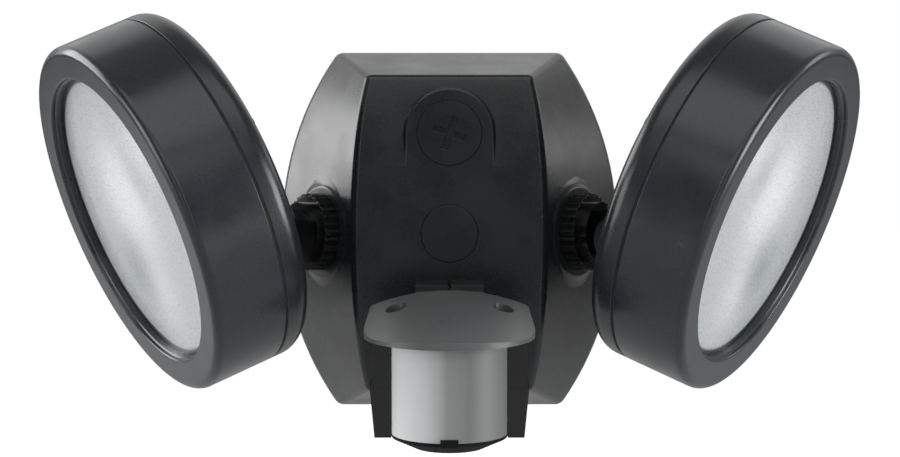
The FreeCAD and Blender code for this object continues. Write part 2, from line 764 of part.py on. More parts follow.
def control_knob(x):
    """Slotted dial under the case, its shaft through the case's floor."""
    low = -CASE_BOTTOM - KNOB_H - FREE
    grip = prism(KNOB_FLAT_COUNT, KNOB_R, low, low + KNOB_H)
    body = grip.fuse(disc(KNOB_SHAFT_R, low + KNOB_H, low + KNOB_H + KNOB_SHAFT_H))
    slot = block(-KNOB_R, KNOB_R, -KNOB_SLOT / 2, KNOB_SLOT / 2, low - 1, low + KNOB_H / 2)
    knob = body.cut(slot)
    knob.translate(Vector(x, -KNOB_BACK, 0))
    return knob


def sensor_lens():
    """Half-round window with short straight legs into the case."""
    top = -CASE_TOP - SEAT
    skin = lens_way(0, -SENSOR_LENS_BOTTOM, top)
    inner_r = SENSOR_LENS_R - SENSOR_LENS_WALL
    bow = disc(inner_r, -SENSOR_LENS_BOTTOM - 1, top + 1, 0, -CASE_FRONT)
    legs = block(-inner_r, inner_r, -CASE_FRONT, -CASE_FRONT + SENSOR_LENS_LEG + 1,
                 -SENSOR_LENS_BOTTOM - 1, top + 1)
    return skin.cut([bow, legs])


def base_cap():
    """Bowl under the lens, with a small locating tab at its front."""
    top = -SENSOR_LENS_BOTTOM
    low = -CAP_BOTTOM
    bowl = turned([
        (0, low, 0), (CAP_FOOT_R, low, 0), (SENSOR_LENS_R, top - CAP_RIM, 0), (SENSOR_LENS_R, top, 0),
        (0, top, 0),
    ])
    reach = SENSOR_LENS_R + 1
    keep = block(-reach, reach, -reach, SENSOR_LENS_LEG, low - 1, top + 1)
    bowl = bowl.common(keep)
    bowl.translate(Vector(0, -CASE_FRONT, 0))
    front = -CASE_FRONT - SENSOR_LENS_R
    tab = block(-TAB_WIDTH / 2, TAB_WIDTH / 2, front - TAB_THICK, front - 0.02, top - TAB_H, top + TAB_H)
    sill = block(-TAB_WIDTH / 2, TAB_WIDTH / 2, front - TAB_THICK, front + 2, top - TAB_H, top - 0.3)
    return bowl.fuse([tab, sill])


def hood_plan(inset, low, high):
    """Hood outline: round front, straight sides and clipped back corners."""
    radius = HOOD_R - inset
    centre_y = HOOD_R - HOOD_FRONT
    back = -HOOD_BACK - inset
    half = HOOD_BACK_HALF - inset
    left = Vector(-radius, centre_y, low)
    right = Vector(radius, centre_y, low)
    front = Part.Arc(left, Vector(0, centre_y - radius, low), right).toShape()
    points = [
        right, Vector(half, back - HOOD_CLIP, low), Vector(half - HOOD_CLIP, back, low),
        Vector(HOOD_CLIP - half, back, low), Vector(-half, back - HOOD_CLIP, low), left,
    ]
    sides = [Part.makeLine(a, b) for a, b in zip(points, points[1:])]
    return Part.Face(Part.Wire([front] + sides)).extrude(Vector(0, 0, high - low))


def hood_roof(inset):
    """Long cylinder whose top is the hood's crowned, sloping roof."""
    slope = math.radians(HOOD_SLOPE)
    along = Vector(0, math.cos(slope), math.sin(slope))
    up = Vector(0, -math.sin(slope), math.cos(slope))
    lip_top = Vector(0, -HOOD_FRONT, HOOD_LIP - CASE_TOP)
    start = lip_top - up * HOOD_CROWN - along * HOOD_R
    roof = Part.makeCylinder(HOOD_CROWN - inset, HOOD_FRONT * 2, start, along)
    roof.rotate(start, along, 180)
    return roof


def sensor_hood():
    """Sloping, crowned hood with two screw wells."""
    low = -CASE_TOP
    high = HOOD_R
    outer = hood_plan(0, low, high).common(hood_roof(0))
    inner = hood_plan(HOOD_WALL, low - 1, high).common(hood_roof(HOOD_WALL))
    posts = []
    wells = []
    for side in (-1, 1):
        x = side * HOOD_SCREW_X
        half = HOOD_SCREW_WELL_R + HOOD_WALL / 2
        posts.append(block(x - half, x + half, -HOOD_SCREW_Y - half, -HOOD_SCREW_Y + half, low, high))
        wells.append(disc(HOOD_SCREW_WELL_R, low + HOOD_WALL, high, x, -HOOD_SCREW_Y))
    kept = [post.common(outer) for post in posts]
    return outer.cut(inner).fuse(kept).cut(wells)


def sensor_board():
    """Upright board across the case, behind the lens."""
    half = CASE_WIDTH / 2 - CASE_WALL - SENSOR_BOARD_MARGIN
    back = -CASE_FRONT + SENSOR_BOARD_SETBACK
    return block(-half, half, back, back + SENSOR_BOARD_THICK,
                 -CASE_BOTTOM + CASE_WALL + SENSOR_BOARD_MARGIN, -CASE_TOP - CASE_WALL - SENSOR_BOARD_MARGIN)


def pir_element():
    """Metal can in the middle of the board, facing the lens."""
    face = -CASE_FRONT + SENSOR_BOARD_SETBACK
    middle = -(CASE_TOP + CASE_BOTTOM) / 2
    return Part.makeCylinder(PIR_R, PIR_H, Vector(0, face, middle), Vector(0, -1, 0))


def photocell():
    """Light sensor below the can, behind the foot of the lens."""
    face = -CASE_FRONT + SENSOR_BOARD_SETBACK
    middle = -(CASE_TOP + CASE_BOTTOM) / 2 - PIR_R * 2
    return Part.makeCylinder(PHOTOCELL_R, PHOTOCELL_H, Vector(PIR_R, face, middle), Vector(0, -1, 0))


def all_pieces():
    pieces = {
        "cover_plate": cover_plate(),
        "wall_gasket": wall_gasket(),
        "box_strap": box_strap(),
        "centre_screw": centre_screw(),
        "ground_screw": ground_screw(),
        "centre_cap": centre_cap(),
        "closure_plug": placed(closure_plug(), pad_hub(1)),
        "sensor_locknut": placed(locknut(), pad_hub(-1)),
        "sensor_arm": placed(arm(SENSOR_REACH, -SENSOR_RISE), pad_hub(-1)),
        "sensor_tilt_bolt": placed(tilt_bolt(), bolt_frame(pad_hub(-1), SENSOR_REACH, -SENSOR_RISE)),
    }
    for name, side in (("left", -1), ("right", 1)):
        lamp = lamp_frame(side)
        pieces[name + "_locknut"] = placed(locknut(), side_hub(side))
        pieces[name + "_arm"] = placed(arm(HEAD_REACH, 0), arm_frame(side))
        pieces[name + "_tilt_bolt"] = placed(tilt_bolt(), bolt_frame(arm_frame(side), HEAD_REACH, 0))
        pieces[name + "_tilt_nut"] = placed(tilt_nut(), head_frame(side))
        pieces[name + "_rear_housing"] = placed(rear_housing(), lamp)
        pieces[name + "_bezel"] = placed(bezel(), lamp)
        pieces[name + "_lens"] = placed(head_lens(), lamp)
        pieces[name + "_housing_gasket"] = placed(housing_gasket(), lamp)
        pieces[name + "_reflector"] = placed(reflector(), lamp)
        pieces[name + "_led_board"] = placed(led_board(), lamp)
        pieces[name + "_led_driver"] = placed(led_driver(), lamp)
    sensor = {
        "sensor_tilt_nut": tilt_nut().mirror(Vector(), Vector(1, 0, 0)),
        "sensor_upper_case": upper_case(),
        "sensor_lower_case": lower_case(),
        "sensor_lens": sensor_lens(),
        "sensor_base_cap": base_cap(),
        "sensor_hood": sensor_hood(),
        "sensor_board": sensor_board(),
        "pir_element": pir_element(),
        "photocell": photocell(),
    }
    for i, x in enumerate(knob_places()):
        sensor[f"control_knob_{i + 1}"] = control_knob(x)
    for name, shape in sensor.items():
        pieces[name] = placed(shape, sensor_frame())
    return pieces


os.makedirs("parts", exist_ok=True)
for name, shape in all_pieces().items():
    whole = shape.Solids
    if len(whole) == 1:
        shape = whole[0]
    print(f"{name:28s} solids {len(whole)} valid {shape.isValid()} volume {shape.Volume / 1000:9.3f} cm3")
    shape.exportStep(f"parts/{name}.step")
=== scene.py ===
import json
import math

import bpy
from mathutils import Matrix, Vector

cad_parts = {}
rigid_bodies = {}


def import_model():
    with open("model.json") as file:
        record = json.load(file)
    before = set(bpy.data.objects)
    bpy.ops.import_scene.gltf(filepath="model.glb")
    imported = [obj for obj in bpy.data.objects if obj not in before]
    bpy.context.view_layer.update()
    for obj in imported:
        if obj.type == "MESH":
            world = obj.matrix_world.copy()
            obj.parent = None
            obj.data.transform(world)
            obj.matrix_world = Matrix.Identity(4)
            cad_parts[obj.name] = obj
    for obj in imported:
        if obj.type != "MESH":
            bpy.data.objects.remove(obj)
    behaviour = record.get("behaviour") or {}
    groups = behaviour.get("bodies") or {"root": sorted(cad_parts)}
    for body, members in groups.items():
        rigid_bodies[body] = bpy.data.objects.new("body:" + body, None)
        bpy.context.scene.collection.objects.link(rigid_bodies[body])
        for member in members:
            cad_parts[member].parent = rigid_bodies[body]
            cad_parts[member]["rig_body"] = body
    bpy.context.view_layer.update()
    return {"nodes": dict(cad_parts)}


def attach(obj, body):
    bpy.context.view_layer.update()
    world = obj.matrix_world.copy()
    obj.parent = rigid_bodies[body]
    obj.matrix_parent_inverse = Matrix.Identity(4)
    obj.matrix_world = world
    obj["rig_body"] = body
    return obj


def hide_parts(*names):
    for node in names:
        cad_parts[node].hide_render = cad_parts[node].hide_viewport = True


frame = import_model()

NODES = frame["nodes"]

MM = 0.001
SIDES = (("left", -1), ("right", 1))

# Places and sizes of the object, in millimetres and degrees, as its solids have them
HUB_SETBACK, HUB_PROUD = 30.5, 0.94
PAD_R, PAD_RISE, PAD_PLANE = 18.0, 39.2, 49.2
STEM_BORE_R = 10.45
KNUCKLE_R, LUG_CLEAR = 12.5, 15.2
HEAD_REACH, HEAD_SWIVEL, HEAD_TILT = 26.7, 20.2, 23.5
HEAD_R, HEAD_DEPTH, HEAD_RISE, HEAD_STANDOFF = 70.8, 41.9, 30.2, 11.8
HEAD_WALL, REAR_ROUND = 2.5, 7.0
SPLIT, SPLIT_GAP = -30.2, 1.0
BEZEL_OPEN_R, BEZEL_THROAT_R, BEZEL_LIP = 58.2, 57.2, 4.5
LENS_R, LENS_THICK = 61.0, 4.0
FIN_HEIGHT, FIN_THICK, FIN_PITCH, FIN_FIELD_R = 5.0, 2.4, 13.0, 56.8
COVER_DEPTH, COVER_RIM, COVER_WALL, FACE_BOW = 50.0, 4.0, 3.0, 330.0
PAD_REACH, GASKET_THICK = 30.2, 2.0
COVER_HEIGHT, COVER_WAIST, COVER_END = 141.2, 134.4, 89.4
FACE_HEIGHT, FACE_WAIST, FACE_END = 120.4, 75.4, 60.6
SENSOR_REACH, SENSOR_RISE, SENSOR_TILT = 28.8, 10.3, 5.8

# Details of the cover: radii, and depths below the plane of their hub or of the face
HUB_BORE_DEEP, HUB_BORE_PROUD = 10, 3
PAD_BOSS_R, PAD_BOSS_TOP, BOSS_DEEP = 15.6, 3, 9
PAD_DEEP, PAD_ROUND = 12, 1.5
CUP_R, CUP_TOP, CUP_DEEP = 14.1, 1.5, 12
PLUG_SEAT_R, PLUG_HEAD_R, PLUG_HEAD_DEEP, PLUG_LENGTH, PLUG_PLAY = 12.8, 12.6, 3, 12, 0.05
CROSS_REACH, CROSS_HALF, CROSS_DEEP, CROSS_TURN = 6.75, 1.35, 2.6, -19
CAP_SEAT_R, CAP_R, CAP_DEEP = 11.3, 11.1, 2.5
WELL_R, WELL_DEEP = 9.6, 9
CENTRE_BORE_R, CENTRE_BORE_DEEP = 2.6, 50
CREASE_ROUND, CREASE_SHARP, WALL_EDGE = 1.9, 10, -0.1
PAST_WALL, BEHIND_WALL = 2, 10
HUB_SEAT = [(23.4, -BOSS_DEEP), (23.4, -2.6), (21.6, -2.1), (20.0, -1.6), (18.9, -1.1),
            (18.3, -0.6), (17.8, -0.2), (17.1, 0)]

# Details of the heads and the sensor
RIM_ROUND, MOUTH_ROUND, SPLIT_ROUND = 3.4, 0.7, 0.35
STEP_TOP_IN, STEP_TOP_DEEP, STEP_FOOT_OUT, STEP_FOOT_DEEP = 0.3, 1.5, 0.1, 1.9
LUG_GAP, LUG_FACE, LUG_END, LUG_BOX = 0.6, 0.15, 13.7, 14
BOARD_SEAT_R, BOARD_SEAT_RISE, BOARD_SEAT_SIDES = 29.5, 2.8, 8
CHANNEL_ROUND, CHANNEL_SHARP = 0.8, 60
LENS_SINK, LENS_MIDDLE_R = 0.05, 20
LOCKNUT_ROUND, ARM_ROUND, CASE_ROUND, HOOD_ROUND = 0.22, 0.5, 0.7, 1.1
HOUSING_SCREW_RING, HOUSING_SCREW_R, HOUSING_SCREW_HIGH = 60.2, 2.4, 1.4
HOUSING_SCREW_COUNT, HOUSING_SCREW_FIRST = 4, 45
HOOD_SCREW_X, HOOD_SCREW_Y, HOOD_SCREW_SEAT = 20.2, 24.0, -1.6
HOOD_SCREW_R, HOOD_SCREW_HIGH = 3.4, 2.4

# Shares of a screw's radius and height
SCREW_PROFILE = ((1, 0), (1, 0.5), (0.88, 0.82), (0.6, 1))
SCREW_CROSS_REACH, SCREW_CROSS_HALF, SCREW_CROSS_FLOOR = 0.55, 0.13, 0.45

# Fine edges, and how finely curves are drawn
FINE_ROUND, FINE_SHARP = 0.3, 50
SOFT_SHARP, SHADE_SHARP, FLAT = 28, 32, 0.3
HEAD_SIDES, LENS_SIDES, SCREW_SIDES, SIDE_ROWS = 192, 160, 32, 28

# Points this near count as in place; a cutting tool stands this far out of what it cuts
NEAR, RING_NEAR = 0.01, 0.05
CLEAR = 1


# Working with Blender's operators

def only(piece):
    """Select one piece and make it active."""
    if bpy.context.mode != "OBJECT":
        bpy.ops.object.mode_set(mode="OBJECT")
    bpy.ops.object.select_all(action="DESELECT")
    piece.select_set(True)
    bpy.context.view_layer.objects.active = piece


def shape(piece):
    """Edit one piece with all of it selected."""
    only(piece)
    bpy.ops.object.mode_set(mode="EDIT")
    bpy.ops.mesh.select_mode(type="VERT")
    bpy.ops.mesh.select_all(action="SELECT")


def pick(piece, test, parts="edges"):
    """Select only the edges, or vertices, whose points all pass a test."""
    bpy.ops.mesh.select_mode(type="EDGE" if parts == "edges" else "VERT")
    bpy.ops.mesh.select_all(action="DESELECT")
    bpy.ops.object.mode_set(mode="OBJECT")
    verts = piece.data.vertices
    passed = [test(v.co) for v in verts]
    if parts == "edges":
        for edge in piece.data.edges:
            edge.select = all(passed[i] for i in edge.vertices)
    else:
        for v in verts:
            v.select = passed[v.index]
    bpy.ops.object.mode_set(mode="EDIT")


def round_edges(piece, width, test, segments):
    """Bevel the edges whose ends pass a test."""
    shape(piece)
    pick(piece, test)
    bpy.ops.mesh.bevel(offset=width, segments=segments, affect="EDGES")
    bpy.ops.object.mode_set(mode="OBJECT")


def round_sharp(piece, width, sharp, segments):
    """Bevel every edge sharper than an angle."""
    shape(piece)
    bpy.ops.mesh.select_mode(type="EDGE")
    bpy.ops.mesh.select_all(action="DESELECT")
    bpy.ops.mesh.edges_select_sharp(sharpness=math.radians(sharp))
    bpy.ops.mesh.bevel(offset=width, segments=segments, affect="EDGES", clamp_overlap=True)
    bpy.ops.object.mode_set(mode="OBJECT")


def on_ring(radius, height):
    """Test for points of a ring about Z."""
    def near(co):
        return (abs(math.hypot(co.x, co.y) - radius) < RING_NEAR
                and abs(co.z - height) < RING_NEAR)
    return near


def put(piece, place):
    """Move a piece's own points to a place."""
    only(piece)
    piece.matrix_world = place @ piece.matrix_world
    bpy.ops.object.transform_apply(location=True, rotation=True, scale=True)
    return piece


def carve(piece, tools, operation="DIFFERENCE"):
    """Cut tools out of a piece, or add them to it, and drop them."""
    for tool in tools:
        only(piece)
        cut = piece.modifiers.new("cut", "BOOLEAN")
        cut.operation = operation
        cut.solver = "MANIFOLD"
        cut.object = tool
        bpy.ops.object.modifier_apply(modifier=cut.name)
        bpy.data.objects.remove(tool)
    return piece


def finished(piece, name, body, finish, stands_for=(), place=Matrix.Identity(4)):
    """Bring a piece from its place in millimetres into the scene, with name, body and finish."""
    put(piece, Matrix.Scale(MM, 4) @ place)
    piece.name = name
    piece.data.name = name
    piece.data.materials.clear()
    piece.data.materials.append(finish.material)
    bpy.ops.object.shade_smooth_by_angle(angle=math.radians(SHADE_SHARP))
    even = piece.modifiers.new("even", "WEIGHTED_NORMAL")
    even.keep_sharp = True
    bpy.ops.object.modifier_apply(modifier=even.name)
    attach(piece, body)
    if stands_for:
        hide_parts(*stands_for)
    return piece


def cylinder(radius, low, high, sides=96):
    """Cylinder about Z between two heights."""
    bpy.ops.mesh.primitive_cylinder_add(vertices=sides, radius=radius, depth=high - low,
                                        location=(0, 0, (low + high) / 2))
    piece = bpy.context.object
    return put(piece, Matrix.Identity(4))


def block(x0, x1, y0, y1, z0, z1):
    """Box between two places on each axis."""
    middle = ((x0 + x1) / 2, (y0 + y1) / 2, (z0 + z1) / 2)
    bpy.ops.mesh.primitive_cube_add(size=1, location=middle)
    piece = bpy.context.object
    piece.scale = (x1 - x0, y1 - y0, z1 - z0)
    return put(piece, Matrix.Identity(4))


def lathe(rings, sides=128, closed=False):
    """Piece of revolution about Z, one ring extruded from another."""
    radius, height = rings[0]
    bpy.ops.mesh.primitive_circle_add(vertices=sides, radius=radius, location=(0, 0, height))
    piece = put(bpy.context.object, Matrix.Identity(4))
    shape(piece)
    if not closed:
        bpy.ops.mesh.edge_face_add()
    for next_radius, next_height in rings[1:] + (rings[:1] if closed else []):
        if closed:
            bpy.ops.mesh.extrude_edges_move()
        else:
            bpy.ops.mesh.extrude_region_move()
        share = next_radius / radius
        bpy.ops.transform.resize(value=(share, share, 1), center_override=(0, 0, height))
        bpy.ops.transform.translate(value=(0, 0, next_height - height))
        radius, height = next_radius, next_height
    bpy.ops.mesh.select_all(action="SELECT")
    bpy.ops.mesh.remove_doubles(threshold=0.001)
    bpy.ops.mesh.normals_make_consistent(inside=False)
    bpy.ops.object.mode_set(mode="OBJECT")
    return piece


def node_copy(node):
    """Welded copy of a node, in millimetres."""
    piece = bpy.data.objects.new(node, NODES[node].data.copy())
    bpy.context.collection.objects.link(piece)
    put(piece, Matrix.Scale(1 / MM, 4))
    shape(piece)
    bpy.ops.mesh.remove_doubles(threshold=0.002)
    bpy.ops.mesh.dissolve_limited(angle_limit=math.radians(FLAT))
    bpy.ops.object.mode_set(mode="OBJECT")
    return piece


def softened(node, finish, width):
    """A node with its sharp edges rounded, standing for that node."""
    piece = node_copy(node)
    round_sharp(piece, width, SOFT_SHARP, 3)
    return finished(piece, node + "_shell", NODES[node]["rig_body"], finish, (node,))


# Frames of the hubs, arms, heads and sensor

def square(origin, x_axis, z_axis):
    """Frame at a place, with its own X and Z."""
    y_axis = z_axis.cross(x_axis)
    turn = Matrix((x_axis, y_axis, z_axis)).transposed().to_4x4()
    return Matrix.Translation(Vector(origin)) @ turn


def side_hub(side):
    """Hub in a side of the cover, Z square to that side."""
    run = (COVER_WAIST - FACE_WAIST) / 2
    slope = COVER_DEPTH - COVER_RIM
    out = Vector((side * slope, -run, 0)).normalized()
    across = COVER_WAIST / 2 - run * (HUB_SETBACK - COVER_RIM) / slope
    place = Vector((side * across, -HUB_SETBACK, 0)) + out * HUB_PROUD
    return square(place, Vector((0, 0, 1)).cross(out), out)


def pad_hub(side):
    """Hub in the upper (1) or lower (-1) pad of the face, Z to the front."""
    return square((0, -PAD_PLANE, side * PAD_RISE), Vector((-1, 0, 0)), Vector((0, -1, 0)))


def head(side):
    """Tilt bolt of a head, Z along its beam."""
    swivel = Matrix.Rotation(math.radians(side * HEAD_SWIVEL), 4, "Z")
    tilt = Matrix.Rotation(math.radians(HEAD_TILT), 4, "X")
    return side_hub(side) @ swivel @ Matrix.Translation((0, 0, HEAD_REACH)) @ tilt


def lamp(side):
    """Middle of a head's front plane, Z along its beam."""
    return head(side) @ Matrix.Translation((0, HEAD_RISE, HEAD_STANDOFF + HEAD_DEPTH))


def sensor():
    """Tilt bolt of the sensor: X right, Y back, Z up."""
    origin = Vector((0, -PAD_PLANE - SENSOR_REACH, SENSOR_RISE - PAD_RISE))
    return Matrix.Translation(origin) @ Matrix.Rotation(math.radians(SENSOR_TILT), 4, "X")


FACE_MIDDLE = square((0, -COVER_DEPTH, 0), Vector((-1, 0, 0)), Vector((0, -1, 0)))


# Finishes

def ink(code):
    """Linear colour of a hexadecimal one."""
    channels = []
    for i in (0, 2, 4):
        value = int(code[i:i + 2], 16) / 255
        channels.append(value / 12.92 if value <= 0.04045 else ((value + 0.055) / 1.055) ** 2.4)
    return (*channels, 1.0)


class Value:
    """A number that varies over a surface: arithmetic on it adds Math nodes."""

    def __init__(self, finish, socket):
        self.finish = finish
        self.socket = socket

    def maths(self, operation, *terms):
        return self.finish.maths(operation, *terms)

    def __add__(self, other):
        return self.maths("ADD", self, other)

    __radd__ = __add__

    def __sub__(self, other):
        return self.maths("SUBTRACT", self, other)

    def __rsub__(self, other):
        return self.maths("SUBTRACT", other, self)

    def __mul__(self, other):
        return self.maths("MULTIPLY", self, other)

    def __truediv__(self, other):
        return self.maths("DIVIDE", self, other)


class Finish:
    """A procedural material round one Principled shader."""

    def __init__(self, name, slot, **constants):
        self.material = bpy.data.materials.new(name)
        self.material.use_nodes = True
        self.slot = slot
        self.tree = self.material.node_tree
        self.shader = self.tree.nodes["Principled BSDF"]
        for key, value in constants.items():
            self.shader.inputs[key.replace("_", " ")].default_value = value

    def node(self, kind, settings=None, inputs=None, output=0):
        """Add a node with its settings and inputs, and give one of its outputs."""
        made = self.tree.nodes.new(kind)
        for key, value in (settings or {}).items():
            if key == "stops":
                ramp = made.color_ramp
                while len(ramp.elements) < len(value):
                    ramp.elements.new(0.5)
                for element, (place, colour) in zip(ramp.elements, value):
                    element.position = place
                    element.color = colour
            else:
                setattr(made, key, value)
        for key, value in (inputs or {}).items():
            if isinstance(value, Value):
                self.tree.links.new(value.socket, made.inputs[key])
            else:
                made.inputs[key].default_value = value
        return Value(self, made.outputs[output])

    def maths(self, operation, *terms):
        """Add a Math node."""
        return self.node("ShaderNodeMath", {"operation": operation}, dict(enumerate(terms)))

    def part(self, value, index):
        """Another output of the node that gives a value."""
        return Value(self, value.socket.node.outputs[index])

    def feed(self, **inputs):
        """Link values to the shader's inputs."""
        for key, value in inputs.items():
            self.tree.links.new(value.socket, self.shader.inputs[key.replace("_", " ")])
        return self

    def spot(self):
        """Place in the object's own coordinates."""
        return self.node("ShaderNodeTexCoord", output="Object")

    def place(self, scale=(1, 1, 1)):
        """Place in the object's own coordinates, stretched."""
        return self.node("ShaderNodeMapping", inputs={"Vector": self.spot(), "Scale": scale})

    def split(self, vector):
        """X of a vector; part() gives its Y and Z."""
        return self.node("ShaderNodeSeparateXYZ", inputs={0: vector})

    def noise(self, scale, detail=2.0, at=None):
        """Noise over the surface."""
        at = at or self.place()
        return self.node("ShaderNodeTexNoise", inputs={
            "Vector": at, "Scale": scale, "Detail": detail})

    def span(self, value, low, high, to_low=0.0, to_high=1.0):
        """Bring a range of a value to another range, held at its ends."""
        return self.node("ShaderNodeMapRange", inputs={
            "Value": value, "From Min": low, "From Max": high,
            "To Min": to_low, "To Max": to_high})

    def blend(self, share, first, second):
        """Mix two colours by a share of the second."""
        return self.node("ShaderNodeMix", {"data_type": "RGBA"},
                         {0: share, 6: first, 7: second}, output=2)

    def bump(self, height, strength, distance):
        """Relief from a height, its distance in millimetres."""
        return self.node("ShaderNodeBump", inputs={
            "Height": height, "Strength": strength, "Distance": distance * MM})


# Noise lies mostly between these; the scales are in turns per metre
NOISE_LOW, NOISE_HIGH = 0.3, 0.7
SPECKLE_SCALE, CLOUD_SCALE, PEEL_SCALE = 2600, 55, 420


def coated(name, slot, dark, pale, rough, peel, speck, sheen=0.5):
    """Powder coat: fine speckle, orange peel and slow changes of gloss."""
    finish = Finish(name, slot, Specular_IOR_Level=sheen)
    fine = finish.noise(SPECKLE_SCALE, 3)
    slow = finish.noise(CLOUD_SCALE, 2)
    skin = finish.noise(PEEL_SCALE, 2)
    share = finish.span(fine, 0.35, NOISE_HIGH) * speck + slow * 0.3
    gloss = finish.span(slow, NOISE_LOW, NOISE_HIGH, rough - 0.04, rough + 0.05)
    finish.feed(
        Base_Color=finish.blend(share, ink(dark), ink(pale)),
        Roughness=gloss + fine * 0.06,
        Normal=finish.bump(skin + fine * 0.35, peel, 0.05),
    )
    return finish


# Name, slot, darker and paler colour, roughness, orange peel, speckle and, last, sheen
CASTING = coated("charcoal_powder_coat", "charcoal_casting", "16181a", "272a2d", 0.24, 0.16, 0.6)
# The bezel takes a lighter, bluer copy of the casting's coat: painted sheen for what its flange
# reflects
BEZEL_SHEEN_COAT = coated("bezel_painted_sheen", "charcoal_casting", "1a1d20", "2f343a", 0.2, 0.16, 0.7)
FITTING = coated("gloss_black_fitting", "charcoal_fittings", "08090a", "16181a", 0.14, 0.3, 0.4)
HOOD = coated("satin_grey_hood", "sensor_hood_plastic", "525354", "5e5f60", 0.28, 0.1, 0.5)
CASE = coated("gloss_black_case", "sensor_case_plastic", "101112", "1f2021", 0.16, 0.4, 0.3)
SCREW_BLACK = coated("blackened_screw", "zinc_steel", "0b0c0d", "1c1e20", 0.3, 0.2, 0.4)
RUBBER = coated("black_rubber", "gasket_rubber", "050505", "0d0d0d", 0.75, 0.3, 0.4)
CAP = coated("matte_black_cap", "sensor_case_plastic", "0c0d0e", "151617", 0.7, 0.3, 0.3, 0.15)
KNOB = coated("matte_black_knob", "knob_plastic", "141414", "202020", 0.5, 0.3, 0.4)
POTTING = coated("black_potting", "potting", "0c0c0c", "1a1a1a", 0.4, 0.5, 0.5)


def zinc():
    """Brushed zinc plate, a little cloudy."""
    finish = Finish("zinc_plate", "zinc_steel", Metallic=1.0)
    brushed = finish.noise(90, 4, finish.place(scale=(1, 1, 22)))
    cloudy = finish.noise(160, 3)
    return finish.feed(
        Base_Color=finish.blend(cloudy, ink("8f9192"), ink("c6c6c0")),
        Roughness=finish.span(brushed, NOISE_LOW, NOISE_HIGH, 0.28, 0.5),
        Normal=finish.bump(brushed, 0.15, 0.05),
    )


# Soft pools of painted light and painted shade on a glass: right, up and width in millimetres,
# strength
POOLS = ((4, 8, 22, 0.75), (-20, 38, 14, 0.4), (8, -28, 14, -0.34), (-10, 22, 11, -0.3),
         (-12, -30, 15, 0.3))
POOL_BASE = 0.46
RIB_TURN = 6500
RIM_FROM, RIM_TO = 0.00299, 0.00312  # squares of the rim's radii, in square metres


def glass():
    """Ribbed glass with the bright bowl behind it painted in: level ribs, painted sparkle and
    soft pools of painted light and shade.
    """
    finish = Finish("ribbed_glass", "frosted_glass", Specular_IOR_Level=0.8, Coat_Weight=0.5,
                    Coat_Roughness=0.03, Metallic=0.25)
    spot = finish.split(finish.spot())
    either = finish.node("ShaderNodeCombineXYZ", inputs={
        0: finish.maths("ABSOLUTE", spot), 1: finish.part(spot, 1), 2: finish.part(spot, 2)})
    middle = lamp(1)
    local = finish.node("ShaderNodeMapping", {"vector_type": "TEXTURE"}, {
        "Vector": either, "Location": middle.translation * MM, "Rotation": middle.to_euler()})
    across = finish.split(local)
    rise = finish.part(across, 1)

    def pool(x, y, width):
        """Round soft pool of painted light, or of painted shade where its strength is below zero,
        at a place on the glass, in millimetres.
        """
        right, up = (across - x * MM) / (width * MM), (rise - y * MM) / (width * MM)
        return finish.maths("EXPONENT", 0 - (right * right + up * up))

    ribs = finish.maths("SINE", rise * RIB_TURN)
    grain_and_sparkle = finish.noise(1500, 2, local)
    light = POOL_BASE
    for x, y, width, strength in POOLS:
        light = light + pool(x, y, width) * strength
    # Painted light: the grain adds painted sparkle and the ribs add faint bright lines to the
    # colour
    light = light + (grain_and_sparkle - 0.42) * 0.5 + ribs * 0.2
    rim = finish.span(across * across + rise * rise, RIM_FROM, RIM_TO)
    colour = finish.blend(finish.span(light, 0.0, 1.1), ink("7d868c"), ink("f2f5f5"))
    finish.feed(
        Base_Color=finish.blend(rim, colour, ink("2c3833")),
        Roughness=finish.span(grain_and_sparkle, NOISE_LOW, NOISE_HIGH, 0.2, 0.5),
        Normal=finish.bump(ribs * 0.8 + grain_and_sparkle * 0.5, 0.4, 0.12),
    )
    return finish


# Tones of painted light across the sensor's lens, paler on its left, and their reach in metres:
# half width, and the foot and top of the painted shade at its top
LENS_LIGHT_TONES = ((0.0, "e4e7e7"), (0.3, "c8cacb"), (0.5, "8b8c8c"), (0.68, "6e6f6f"),
              (0.8, "777878"), (1.0, "6a6b6b"))
LENS_HALF, SHADE_FOOT, SHADE_TOP = 0.0216, -0.045, -0.032


def milky():
    """Moulded sensor lens: upright prism bands in a milky skin, with painted light paler on its
    left side and painted shade darker towards its top.
    """
    finish = Finish("milky_lens", "milky_lens_plastic", Specular_IOR_Level=0.3)
    spot = finish.split(finish.spot())
    bands = finish.noise(160, 2, finish.place(scale=(1, 0.01, 0.01)))
    stops = [(place, ink(code)) for place, code in LENS_LIGHT_TONES]
    # Painted light: the lens is paler on its left side, where the light falls
    share = finish.span(spot, -LENS_HALF, LENS_HALF) + bands * 0.1 - 0.05
    painted_tone = finish.node("ShaderNodeValToRGB", {"stops": stops}, {0: share})
    # Painted shade: the lens darkens towards its top
    top_shade = finish.span(finish.part(spot, 2), SHADE_FOOT, SHADE_TOP) * 0.35
    finish.feed(
        Base_Color=finish.blend(top_shade, painted_tone, ink("6d7478")),
        Roughness=finish.span(bands, NOISE_LOW, NOISE_HIGH, 0.42, 0.55),
        Normal=finish.bump(bands, 0.25, 0.3),
    )
    return finish


def bowl():
    """Hammered aluminium of a reflector."""
    finish = Finish("hammered_aluminium", "reflector_aluminium", Metallic=1.0)
    dimple = finish.node("ShaderNodeTexVoronoi", inputs={
        "Vector": finish.place(), "Scale": 420.0})
    cloudy = finish.noise(60, 2)
    return finish.feed(
        Base_Color=finish.blend(cloudy, ink("b9bfc4"), ink("e9edf0")),
        Roughness=finish.span(cloudy, NOISE_LOW, NOISE_HIGH, 0.18, 0.32),
        Normal=finish.bump(dimple, 0.6, 0.3),
    )


